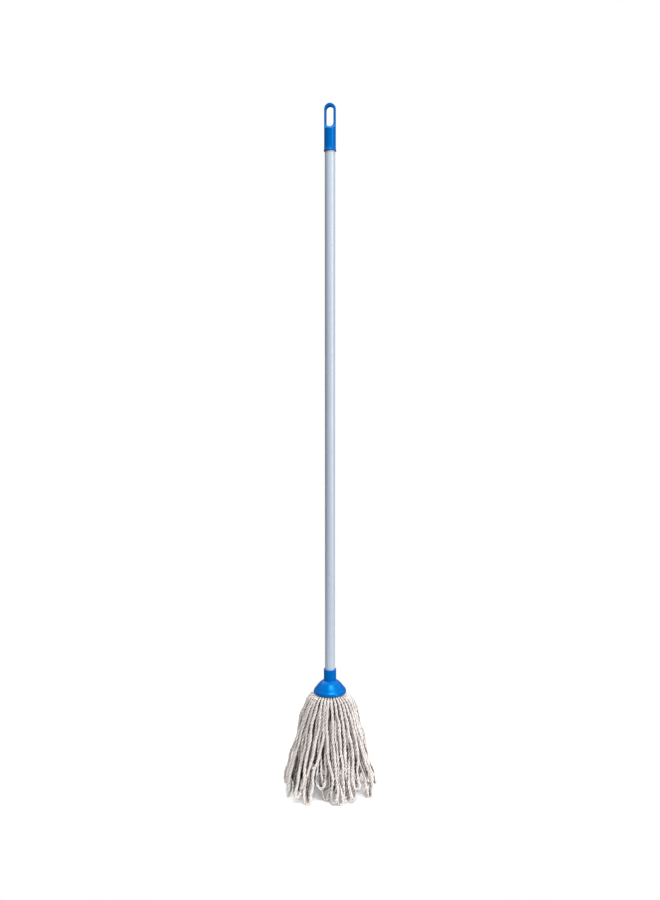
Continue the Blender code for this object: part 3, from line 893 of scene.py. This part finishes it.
def make_ferrule():
    """The plug in the tube's lower end, with a flange under the tube and the thread below it."""
    plug_radius = TUBE_RADIUS - TUBE_WALL - GAP
    flange_top = TUBE_LOW_Z - GAP
    flange_low = COUNTERBORE_Z + GAP
    edge = 0.2 * MM
    profile = [
        (FERRULE_BORE, PLUG_TOP_Z),
        (plug_radius - 1 * MM, PLUG_TOP_Z),
        (plug_radius, PLUG_TOP_Z - 2 * MM),
        (plug_radius, flange_top),
        (TUBE_RADIUS - edge, flange_top),
        (TUBE_RADIUS, flange_top - edge),
        (TUBE_RADIUS, flange_low + edge),
        (TUBE_RADIUS - edge, flange_low),
        (STUB_RADIUS, flange_low),
        (STUB_RADIUS, FERRULE_LOW_Z + 1 * MM),
        (STUB_RADIUS - 0.3 * MM, FERRULE_LOW_Z + 0.3 * MM),
        (STUB_RADIUS - 1 * MM, FERRULE_LOW_Z),
        (FERRULE_BORE, FERRULE_LOW_Z),
    ]
    ferrule = turned("ferrule_with_thread", profile)
    combine(ferrule, thread_body("thread_ridge", 0, THREAD_TURNS), "UNION")
    finish_piece(ferrule, WHITE, "threaded_ferrule", "handle")


DOME_OUTSIDE = [
    (r * MM, z * MM)
    for r, z in ((14.4, 247.9), (16.4, 247), (21, 243.9), (25, 239.8), (28.6, 235.5), (31.5, 231.4))
]
DOME_BEAD = [(r * MM, z * MM) for r, z in ((31.5, 231.4), (33.6, 229), (35.2, 227), (35.85, 224))]
DOME_INSIDE = [
    (r * MM, z * MM)
    for r, z in ((33.2, 226.5), (29.4, 231.8), (26.4, 235.6), (22.8, 239.4), (18.5, 242.4))
]


def make_socket():
    """The neck and dome in one piece, with a partition between them and the thread's groove."""
    neck_top_centre = (NECK_RADIUS - NECK_ROUND, SOCKET_TOP_Z - NECK_ROUND)
    profile = [
        (SCREW_HOLE, PARTITION_TOP_Z),
        (THREAD_HELIX_RADIUS, PARTITION_TOP_Z),
        (THREAD_HELIX_RADIUS, COUNTERBORE_Z),
        (COUNTERBORE_RADIUS, COUNTERBORE_Z),
        (COUNTERBORE_RADIUS, SOCKET_TOP_Z - COUNTERBORE_EDGE),
        (COUNTERBORE_RADIUS + COUNTERBORE_EDGE, SOCKET_TOP_Z),
        *arc(neck_top_centre, NECK_ROUND, 0.25, 0, 4),
        (NECK_RADIUS, NECK_FOOT_Z),
        *arc((NECK_RADIUS + NECK_FILLET, NECK_FOOT_Z), NECK_FILLET, 0.5, 0.7, 4),
        *curved(DOME_OUTSIDE, 26)[1:],
        *curved(DOME_BEAD, 12)[1:],
        *arc((LIP_RADIUS, RIM_Z + LIP_ROUND), LIP_ROUND, 0, -0.5, 6),
        *curved(DOME_INSIDE, 20),
        (PARTITION_RADIUS, PARTITION_LOW_Z),
        (SCREW_HOLE, PARTITION_LOW_Z),
    ]
    socket = turned("domed_socket", profile)
    groove_turns = (SOCKET_TOP_Z - FERRULE_LOW_Z) / THREAD_PITCH
    groove = thread_body("thread_groove", THREAD_CLEARANCE, groove_turns, GROOVE_LEAD)
    combine(socket, groove, "DIFFERENCE")
    finish_piece(socket, BLUE, "mop_socket", "mop_head")


def make_retainer():
    """The cone that wedges the yarn's ends, with a recess for the screw's head."""
    profile = [
        (SCREW_HOLE, PARTITION_LOW_Z - GAP),
        (5.2 * MM, PARTITION_LOW_Z - GAP),
        (5.5 * MM, PARTITION_LOW_Z - 2 * GAP),
        (7 * MM, RETAINER_LOW_Z + 11.5 * MM),
        (8.2 * MM, RETAINER_LOW_Z + 3 * MM),
        (7.8 * MM, RETAINER_LOW_Z + 1 * MM),
        (7.3 * MM, RETAINER_LOW_Z + 0.2 * MM),
        (6.6 * MM, RETAINER_LOW_Z),
        (4.4 * MM, RETAINER_LOW_Z),
        (4.2 * MM, RETAINER_LOW_Z + 0.2 * MM),
        (4.2 * MM, RECESS_TOP_Z),
        (SCREW_HOLE, RECESS_TOP_Z),
    ]
    retainer = turned("wedge_cone", profile)
    finish_piece(retainer, WHITE, "yarn_retainer", "mop_head")


def make_screw():
    """A cross-head screw, whose thread is drawn as rings."""
    threads = []
    for turn in range(SCREW_THREADS):
        top = SCREW_THREAD_Z - turn * SCREW_PITCH
        threads += [
            (SCREW_SHANK, top),
            (SCREW_THREAD, top - 0.3 * SCREW_PITCH),
            (SCREW_SHANK, top - 0.6 * SCREW_PITCH),
        ]
    edge = 0.1 * MM
    round_centre = (SCREW_HEAD - SCREW_HEAD_ROUND, SCREW_LOW_Z + SCREW_HEAD_ROUND)
    profile = [
        (NEAR_AXIS, SCREW_TOP_Z),
        *threads,
        (SCREW_SHANK, SCREW_HEAD_Z),
        (SCREW_HEAD - edge, SCREW_HEAD_Z),
        (SCREW_HEAD, SCREW_HEAD_Z - edge),
        *arc(round_centre, SCREW_HEAD_ROUND, 0, -0.25, 5),
        (NEAR_AXIS, SCREW_LOW_Z),
    ]
    screw = turned("cross_head_screw", profile, SCREW_STEPS)
    low, high = SCREW_LOW_Z - DRIVE_DEPTH, SCREW_LOW_Z + DRIVE_DEPTH
    outline = [(-DRIVE_ARM, low), (DRIVE_ARM, low), (DRIVE_ARM, high), (-DRIVE_ARM, high)]
    for across in ("X", "Y"):
        combine(screw, slab("drive_slot", outline, DRIVE_WIDTH, across), "DIFFERENCE")
    finish_piece(screw, STEEL, "retainer_screw", "mop_head")


def make_cap():
    """The end cap: a sleeve with a domed top, cut down to a flat loop and slotted."""
    bore = TUBE_RADIUS + GAP
    crown = arc((0, CAP_TOP_Z - SLEEVE_RADIUS), SLEEVE_RADIUS, CROWN_START, 0, 24)
    profile = [
        *crown,
        (SLEEVE_RADIUS, CAP_LOW_Z + FLARE_HEIGHT),
        (SLEEVE_RADIUS + FLARE_BULGE, CAP_LOW_Z + FLARE_HEIGHT / 2),
        (FLARE_RADIUS, CAP_LOW_Z),
        (bore, CAP_LOW_Z),
        (bore, BORE_ROOF_Z),
        (crown[0][0], BORE_ROOF_Z),
    ]
    cap = turned("slotted_cap", profile)
    core_top, core_low = CAP_TOP_Z - 0.3 * MM, BORE_ROOF_Z + 0.2 * MM
    core_profile = [(0.01 * MM, core_top), (CORE_RADIUS, core_top)]
    core_profile += [(CORE_RADIUS, core_low), (0.01 * MM, core_low)]
    combine(cap, turned("cap_core", core_profile, 12), "UNION")
    face = TAB_THICKNESS / 2
    beyond, above = face + 2 * SCOOP_RADIUS, CAP_TOP_Z + 5 * MM  # well clear of the cap
    for side in (-1, 1):
        outline = [
            *arc((face + SCOOP_RADIUS, SCOOP_Z), SCOOP_RADIUS, 0.5, 0.75, 16),
            (beyond, SCOOP_Z - SCOOP_RADIUS),
            (beyond, above),
            (face, above),
        ]
        outline = [(side * sideways, height) for sideways, height in outline]
        combine(cap, slab("scoop", outline, 4 * SLEEVE_RADIUS, "X"), "DIFFERENCE")
    end_radius = SLOT_WIDTH / 2
    slot_outline = [
        *arc((0, SLOT_TOP_Z - end_radius), end_radius, 0, 0.5, 32),
        *arc((0, SLOT_LOW_Z + end_radius), end_radius, 0.5, 1, 32),
    ]
    combine(cap, slab("slot", slot_outline, 4 * SLEEVE_RADIUS, "Y"), "DIFFERENCE")
    soften_edges(cap)
    finish_piece(cap, BLUE, "hanging_cap", "hanging_cap")


def soften_edges(obj):
    """Rounds every edge a little, as a mould does."""
    remesh = obj.modifiers.new("fine", "REMESH")
    remesh.mode = "VOXEL"
    remesh.voxel_size = CAP_VOXEL
    smooth = obj.modifiers.new("soft", "SMOOTH")
    smooth.factor = 0.5
    smooth.iterations = CAP_SMOOTHING
    applied(obj)


def make_yarn():
    """Every loop of yarn, each in place of the CAD frame's loop, which is hidden."""
    courses, thickness = yarn_courses()
    crowd = YarnCrowd(courses)
    for number, course in enumerate(courses, start=1):
        node = f"yarn_loop_{number:02d}"
        loop, path, length = twisted_yarn(f"cotton_{node}", course, thickness, crowd, number)
        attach(loop, "mop_head")
        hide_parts(node)


# ---------------------------------------------------------------- studio
FLOOR_RADIUS = 0.5
FLOOR_GLOW = 0.16
SKY_LOW, SKY_HIGH = 0.3, 0.65  # the backdrop's light grows between these heights on its sphere


def soft_light(name, place, aim, width, height, power):
    """A flat rectangular lamp that faces a point."""
    data = bpy.data.lights.new(name, "AREA")
    data.shape = "RECTANGLE"
    data.size, data.size_y = width, height
    data.energy = power
    light = bpy.data.objects.new(name, data)
    light.location = place
    light.rotation_euler = (Vector(aim) - Vector(place)).to_track_quat("-Z", "Y").to_euler()
    SCENE.collection.objects.link(light)


def soft_sun(azimuth, elevation, width, strength):
    """Even light from one side of the sky. The azimuth runs from -Y towards +X."""
    data = bpy.data.lights.new("sun", "SUN")
    data.angle = math.radians(width)
    data.energy = strength
    light = bpy.data.objects.new("sun", data)
    turned_to = math.radians(azimuth)
    light.rotation_euler = (math.pi / 2 - math.radians(elevation), 0, turned_to)
    SCENE.collection.objects.link(light)


def make_floor():
    """A plain pale disc, small enough not to light the object much from below."""
    bpy.ops.mesh.primitive_circle_add(vertices=64, radius=FLOOR_RADIUS, fill_type="NGON")
    floor = bpy.context.object
    floor.name = "studio_floor"
    shader = Shader("studio_floor")
    white = shader.surface(
        Base_Color=colour(0.8, 0.8, 0.8),
        Roughness=0.9,
        Emission_Color=colour(1, 1, 1),
        Emission_Strength=FLOOR_GLOW,
    )
    floor.data.materials.append(white)


def make_world(low, high):
    """A backdrop that shows as white, but gives little light near the horizon and more above."""
    world = bpy.data.worlds.new("studio")
    world.use_nodes = True
    tree = world.node_tree
    background = tree.nodes["Background"]
    background.inputs["Color"].default_value = colour(1, 1, 1)
    backdrop = tree.nodes.new("ShaderNodeBackground")
    where = tree.nodes.new("ShaderNodeTexCoord")
    height = tree.nodes.new("ShaderNodeSeparateXYZ")
    glow = tree.nodes.new("ShaderNodeMapRange")
    limits = {"From Min": SKY_LOW, "From Max": SKY_HIGH, "To Min": low, "To Max": high}
    for name, value in limits.items():
        glow.inputs[name].default_value = value
    tree.links.new(where.outputs["Generated"], height.inputs["Vector"])
    tree.links.new(height.outputs["Z"], glow.inputs["Value"])
    tree.links.new(glow.outputs["Result"], background.inputs["Strength"])
    backdrop.inputs["Color"].default_value = colour(1, 1, 1)
    seen = tree.nodes.new("ShaderNodeLightPath")
    choice = tree.nodes.new("ShaderNodeMixShader")
    tree.links.new(seen.outputs["Is Camera Ray"], choice.inputs["Fac"])
    tree.links.new(background.outputs[0], choice.inputs[1])
    tree.links.new(backdrop.outputs[0], choice.inputs[2])
    tree.links.new(choice.outputs[0], tree.nodes["World Output"].inputs["Surface"])
    SCENE.world = world


make_yarn()
make_handle_tube()
make_ferrule()
make_socket()
make_retainer()
make_screw()
make_cap()
make_floor()
make_world(low=0.12, high=0.85)
soft_sun(azimuth=38, elevation=62, width=30, strength=1.88)
soft_sun(azimuth=205, elevation=50, width=60, strength=0.85)
soft_light("key", place=(1.9, -1.1, 1.15), aim=(0, 0, 1.05), width=0.22, height=2.2, power=28)
soft_light("fill", place=(0.35, -1.1, 2.7), aim=(0, 0, 1.1), width=0.9, height=0.9, power=24)
SCENE.view_settings.view_transform = "Standard"
